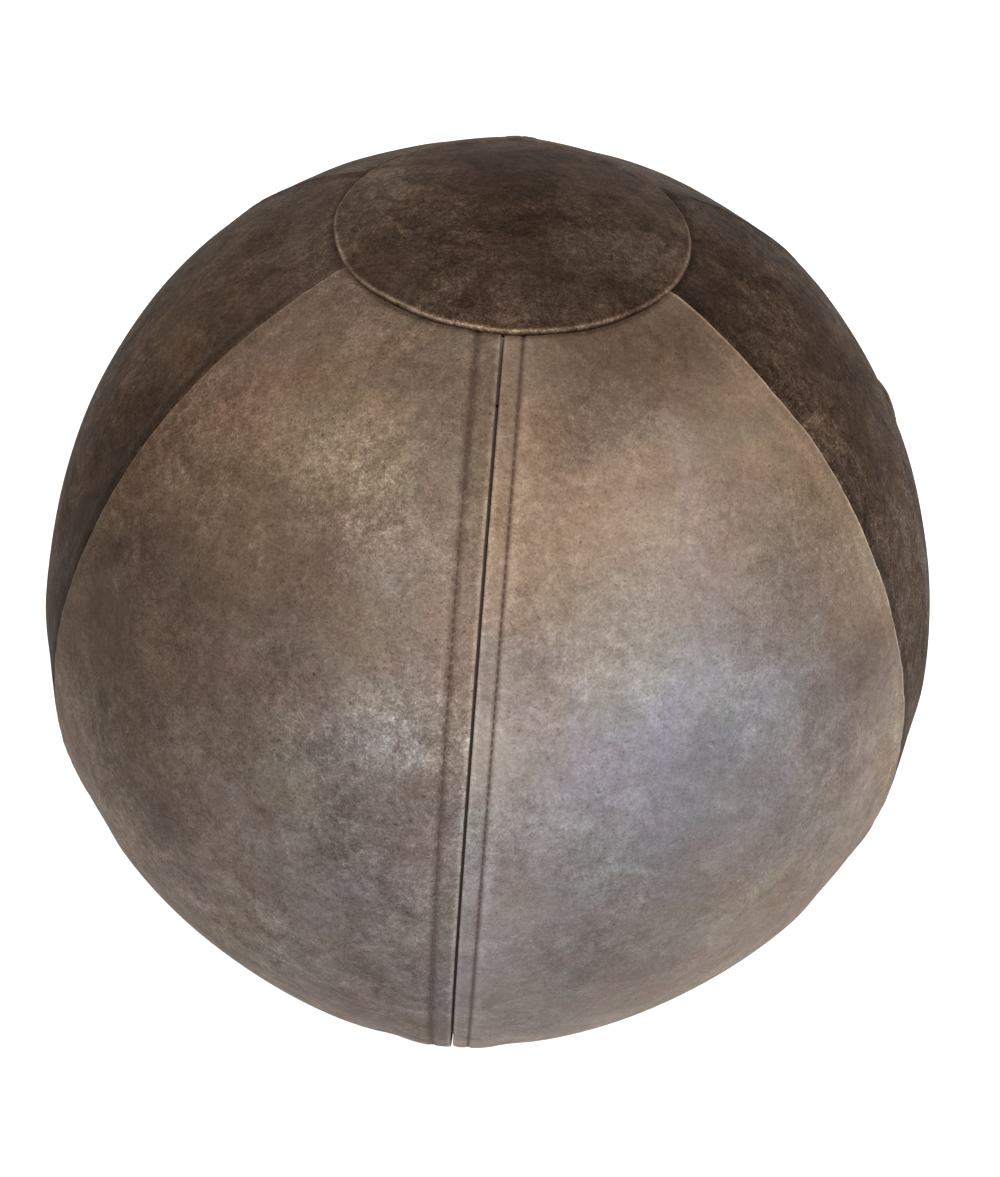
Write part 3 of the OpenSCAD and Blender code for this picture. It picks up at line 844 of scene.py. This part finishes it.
class Nodes:
    """A short way to write a material's nodes."""

    def __init__(self, name):
        self.material = bpy.data.materials.new(name)
        self.material.use_nodes = True
        self.tree = self.material.node_tree
        self.shader = self.tree.nodes["Principled BSDF"]
        self.coords = self.tree.nodes.new("ShaderNodeTexCoord").outputs["Object"]

    def add(self, kind, inputs=(), **settings):
        node = self.tree.nodes.new(kind)
        for key, value in settings.items():
            setattr(node, key, value)
        for key, value in dict(inputs).items():
            self.give(node.inputs[key], value)
        return node

    def give(self, socket, value):
        """Links a node's output to a socket, or sets the socket to a constant."""
        if isinstance(value, bpy.types.NodeSocket):
            self.tree.links.new(value, socket)
        else:
            socket.default_value = value

    def moved(self, offset, scale=(1, 1, 1)):
        inputs = {"Vector": self.coords, "Location": offset, "Scale": scale}
        return self.add("ShaderNodeMapping", inputs).outputs[0]

    def noise(self, coords, scale, detail=2.0, rough=0.5, distortion=0.0):
        inputs = {"Vector": coords, "Scale": scale, "Detail": detail, "Roughness": rough}
        inputs["Distortion"] = distortion
        return self.add("ShaderNodeTexNoise", inputs).outputs["Fac"]

    def wave(self, scale, bands, **more):
        inputs = {"Vector": self.coords, "Scale": scale} | more
        return self.add("ShaderNodeTexWave", inputs, bands_direction=bands).outputs["Fac"]

    def math(self, operation, a, b=0.0, clamp=False):
        node = self.add("ShaderNodeMath", {0: a, 1: b}, operation=operation, use_clamp=clamp)
        return node.outputs[0]

    def spread(self, value, low, high, to_low=0.0, to_high=1.0):
        """The value's range from low to high, stretched to a new one and held inside it."""
        inputs = {"Value": value, "From Min": low, "From Max": high, "To Min": to_low, "To Max": to_high}
        return self.add("ShaderNodeMapRange", inputs).outputs[0]

    def shades(self, share, colour, dark, light):
        """The colour, from a darker to a lighter shade of it."""
        node = self.add("ShaderNodeMix", data_type="RGBA")
        self.give(node.inputs[0], share)
        self.give(node.inputs[6], (*(dark * c for c in colour), 1))
        self.give(node.inputs[7], (*(light * c for c in colour), 1))
        return node.outputs[2]

    def attribute(self, name):
        return self.add("ShaderNodeAttribute", attribute_name=name).outputs["Fac"]

    def bump(self, heights, distance, strength=1.0):
        node = self.add("ShaderNodeBump", {"Height": heights, "Distance": distance, "Strength": strength})
        return node.outputs[0]

    def finish(self, **values):
        """Sets the shader's inputs, such as base_color for Base Color."""
        for key, value in values.items():
            socket = key.replace("_", " ").title().replace("Ior", "IOR")
            self.give(self.shader.inputs[socket], value)
        return self.material


# The suede's red, green and blue: the albedo in the middle tone, how fast it changes with the tone, and its
# shift with the green and with the cool hue
CHANNELS = (
    (0.172, 0.96, -0.2, -0.42),
    (0.129, 1.07, 0.2, -0.06),
    (0.099, 1.14, -0.1, 0.5),
)


def suede(name, offset, tone, contrast=1.0, gloss=0.55):
    """Brushed suede-look cloth: mottled brown, with faint olive, rose and violet, dark flecks and a soft nap.

    The tone is in stops: one more is twice as light. Dark cloth is richer in colour than light cloth. The
    gloss is 1 where the nap is rubbed flat, and less where it is matt.
    """
    m = Nodes(name)

    def shifted(by):
        return m.moved([v + by for v in offset])

    place = m.moved(offset)
    clouds = m.noise(place, 8, 1, 0.6, 0.4)
    blots = m.noise(place, 34, 2, 0.85, 0.6)
    marks = m.noise(place, 230, 1, 0.9, 0.3)
    grain = m.noise(place, 760, 1, 0.8)
    fibre = m.noise(place, 2100, 1, 0.6)
    # the patches' brushed nap and painted light and shade, which the pieces carry on their points, go into
    # the tone here, and their cool hue, with a painted cool reflection, further down
    level = m.math("ADD", m.attribute("nap"), tone)
    rubbed = m.spread(m.noise(shifted(1.9), 13, 1, 0.5), 0.36, 0.64, 0.7, 1.2)
    for wave, strength in ((clouds, 1.0), (blots, 1.7), (marks, 1.3), (grain, 1.7), (fibre, 0.9)):
        share = m.math("MULTIPLY", m.math("SUBTRACT", wave, 0.5), strength * contrast)
        if wave != clouds:
            share = m.math("MULTIPLY", share, rubbed)
        level = m.math("ADD", level, share)
    # rubbed nap, painted highlights and painted shade at seams, lips, cap edges and strap, carried on the
    # points, go into the tone here
    level = m.math("ADD", level, m.math("MULTIPLY", m.attribute("wear_and_painted_light"), 0.75))
    scuffs = m.spread(m.noise(place, 55, 3, 0.7, 1.4), 0.60, 0.74)
    level = m.math("ADD", level, m.math("MULTIPLY", scuffs, 0.35 * contrast))
    specks = m.spread(m.noise(place, 520, 1, 0.5), 0.22, 0.34, 1.0, 0.0)
    level = m.math("SUBTRACT", level, m.math("MULTIPLY", specks, 0.9 * contrast))
    green = m.math("SUBTRACT", m.noise(shifted(3.1), 20, 2, 0.6, 0.5), 0.5)
    blue = m.math("SUBTRACT", m.noise(shifted(5.3), 16, 2, 0.6, 0.5), 0.46)
    cool = m.math("ADD", m.math("MULTIPLY", blue, 0.8), m.attribute("cool"))
    channels = []
    for base, slope, by_green, by_cool in CHANNELS:
        power = m.math("MULTIPLY", level, slope)
        power = m.math("ADD", power, m.math("MULTIPLY", green, by_green))
        power = m.math("ADD", power, m.math("MULTIPLY", cool, by_cool))
        channels.append(m.math("MULTIPLY", m.math("POWER", 2.0, power), base, clamp=True))
    colour = m.add("ShaderNodeCombineColor", dict(enumerate(channels))).outputs[0]
    heights = m.math("ADD", m.math("MULTIPLY", fibre, 0.4), m.math("MULTIPLY", grain, 1.0))
    heights = m.math("ADD", heights, m.math("MULTIPLY", marks, 1.6))
    return m.finish(
        base_color=colour,
        roughness=m.spread(blots, 0.3, 0.7, 0.94, 0.8),
        normal=m.bump(heights, 0.35 * MM, 0.8),
        sheen_weight=0.03 * gloss,
        sheen_roughness=0.5,
        sheen_tint=(0.72, 0.70, 0.62, 1),
        specular_ior_level=0.1 * gloss,
    )


def thread(name, colour):
    """Twisted sewing thread."""
    m = Nodes(name)
    twist = m.wave(900, "DIAGONAL", Distortion=1.5, Detail=1)
    fibre = m.noise(m.coords, 2600, 2, 0.6)
    return m.finish(
        base_color=m.shades(m.spread(fibre, 0.3, 0.7), colour, 0.7, 1.25),
        roughness=m.spread(fibre, 0.3, 0.7, 0.6, 0.8),
        normal=m.bump(twist, 0.12 * MM),
        sheen_weight=0.05,
        specular_ior_level=0.2,
    )


def woven(name, colour):
    """Zip tape: a fine weave."""
    m = Nodes(name)
    cells = m.math("MULTIPLY", m.wave(420, "X"), m.wave(420, "Z"))
    return m.finish(
        base_color=m.shades(cells, colour, 0.5, 1.2),
        roughness=0.85,
        normal=m.bump(cells, 0.15 * MM),
        sheen_weight=0.15,
    )


def nylon(name, colour):
    """Half-matt plastic or enamel, a little uneven."""
    m = Nodes(name)
    haze = m.noise(m.coords, 900, 2)
    return m.finish(
        base_color=m.shades(haze, colour, 0.8, 1.2),
        roughness=m.spread(haze, 0.3, 0.7, 0.5, 0.65),
        specular_ior_level=0.2,
    )


def vinyl(name, colour):
    """The inner ball's soft plastic, with a faint leathery grain."""
    m = Nodes(name)
    cells = m.add("ShaderNodeTexVoronoi", {"Vector": m.coords, "Scale": 420}).outputs["Distance"]
    haze = m.noise(m.coords, 40, 3)
    return m.finish(
        base_color=m.shades(haze, colour, 0.85, 1.15),
        roughness=m.spread(haze, 0.3, 0.7, 0.62, 0.78),
        normal=m.bump(cells, 0.15 * MM),
        specular_ior_level=0.15,
    )


def metal(name, colour):
    """Plated zinc with brushing and small scratches."""
    m = Nodes(name)
    brushed = m.noise(m.moved((0, 0, 0), (1, 1, 12)), 900, 2)
    marks = m.noise(m.coords, 260, 4, 0.7)
    return m.finish(
        base_color=m.shades(marks, colour, 0.75, 1.1),
        metallic=1.0,
        roughness=m.spread(marks, 0.3, 0.7, 0.24, 0.46),
        normal=m.bump(brushed, 0.03 * MM),
    )


def dress(node, material):
    """Gives a CAD node that stays in view a better material."""
    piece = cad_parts[node]
    piece.data.materials.clear()
    piece.data.materials.append(material)


def bevel(node, width):
    """Takes the sharpness off a CAD node's edges."""
    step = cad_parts[node].modifiers.new("edges", "BEVEL")
    step.width = width
    step.segments = 2
    step.limit_method = "ANGLE"
    step.angle_limit = math.radians(40)


# ---- Stage ----


def camera():
    """The photograph's view: from the front and above, rolled slightly, as fitted to the ball's outline."""
    azimuth, elevation, roll, distance = 0.73, 46.475, math.radians(3.876), 1.007
    back = direction(azimuth, elevation)
    _, right = axes(math.radians(azimuth))
    up = np.cross(back, right)
    turned_right = right * math.cos(roll) + up * math.sin(roll)
    turned_up = up * math.cos(roll) - right * math.sin(roll)
    data = bpy.data.cameras.new("camera")
    data.lens = 39.85
    data.sensor_width = 36
    data.shift_x = 0.0105
    data.shift_y = 0.009
    data.clip_start = 0.05
    cam = bpy.data.objects.new("camera", data)
    bpy.context.scene.collection.objects.link(cam)
    place = MIDDLE + back * distance
    columns = np.stack([turned_right, turned_up, back, place], axis=1)
    cam.matrix_world = Matrix([*columns.tolist(), [0, 0, 0, 1]])
    bpy.context.scene.camera = cam


LAMP_DISTANCE = 3


def light(name, azimuth, height, colour, kind, **settings):
    """A lamp that shines at the ball. A soft sun lights the floor evenly, too."""
    way = direction(azimuth, height)
    data = bpy.data.lights.new(name, kind)
    data.color = colour
    for key, value in settings.items():
        setattr(data, key, value)
    lamp = bpy.data.objects.new(name, data)
    lamp.location = MIDDLE + way * LAMP_DISTANCE
    lamp.rotation_euler = Vector(way).to_track_quat("Z", "Y").to_euler()
    bpy.context.scene.collection.objects.link(lamp)


def stage():
    """A white floor under a pale sky, a soft sun from the front right, and two lamps."""
    world = bpy.data.worlds.new("world")
    world.use_nodes = True
    sky = world.node_tree.nodes["Background"].inputs
    sky["Color"].default_value = (0.95, 0.97, 1.0, 1)
    sky["Strength"].default_value = 0.5
    bpy.context.scene.world = world
    bpy.context.scene.view_settings.view_transform = "Standard"
    light("key", 18, 52, (1.0, 0.985, 0.96), "SUN", energy=4.2, angle=math.radians(30))
    light("fill", -60, 35, (0.95, 0.97, 1.0), "AREA", energy=10, size=2.0, shape="DISK")
    light("back", 165, 14, (0.97, 0.98, 1.0), "AREA", energy=26, size=2.0, shape="DISK")
    m = Nodes("floor_paint")
    tone = m.shades(m.noise(m.coords, 3, 2), (1, 1, 1), 0.86, 0.9)
    paint = m.finish(base_color=tone, roughness=0.9)
    half = 20
    points = np.array([[-half, -half, 0], [half, -half, 0], [half, half, 0], [-half, half, 0]], float)
    floor = mesh_object("floor", points, [(0, 1, 2, 3)], paint)


# ---- Everything ----

camera()
stage()

# Each gore's azimuth and its cloth: how light in stops, how mottled and, on the front two, how glossy
GORES = {
    "gore_front_right": (FRONT_RIGHT, -0.15, 0.8, 1.0),
    "gore_right": (90, -2.3, 2.2),
    "gore_back_right": (BACK_RIGHT, -1.9, 1.6),
    "gore_back_left": (BACK_LEFT, -1.9, 1.6),
    "gore_left": (270, -2.1, 1.7),
    "gore_front_left": (FRONT_LEFT, -0.7, 1.2, 1.0),
}
for number, (name, (azimuth, *look)) in enumerate(GORES.items()):
    offset = (1.7 * number, 0.9 * number, 2.3 * number)
    gore(name, azimuth, suede("suede_" + name.removeprefix("gore_"), offset, *look))
cap("top_cap", True, suede("suede_top_cap", (11.3, 4.1, 2.9), -2.2, 1.75))
cap("bottom_cap", False, suede("suede_bottom_cap", (13.7, 8.2, 6.4), -1.6, 1.4))

sewing = thread("cover_thread", (0.075, 0.042, 0.03))
for side, word in ((-1, "left"), (1, "right")):
    topstitch("stitches_" + word, side, sewing)
for side, word in ((-1, "left"), (1, "right")):
    coil("coil_" + word, side, nylon("coil_nylon_" + word, (0.13, 0.09, 0.066)))

strap(suede("suede_strap", (5.2, 9.6, 1.4), -1.5))
strap_stitching(thread("strap_thread", (0.17, 0.12, 0.09)))

hidden_thread = thread("seam_thread", (0.16, 0.12, 0.095))
tape = woven("tape_weave", (0.12, 0.088, 0.066))
plated = metal("zip_metal", (0.52, 0.49, 0.45))
enamel = nylon("stop_enamel", (0.03, 0.022, 0.017))
NEW_LOOKS = {
    "gore_seam_threads": hidden_thread,
    "top_cap_thread": hidden_thread,
    "bottom_cap_thread": hidden_thread,
    "zip_tape_left": tape,
    "zip_tape_right": tape,
    "zip_slider": plated,
    "zip_pull_tab": plated,
    "zip_top_stops": enamel,
    "zip_bottom_stop": enamel,
    "inner_ball": vinyl("ball_vinyl", (0.09, 0.064, 0.05)),
    "valve_seat": vinyl("valve_rubber", (0.03, 0.03, 0.032)),
    "valve_plug": vinyl("valve_plastic", (0.7, 0.7, 0.68)),
}
for node, material in NEW_LOOKS.items():
    dress(node, material)
bevel("zip_slider", 0.2 * MM)
bevel("zip_pull_tab", 0.3 * MM)
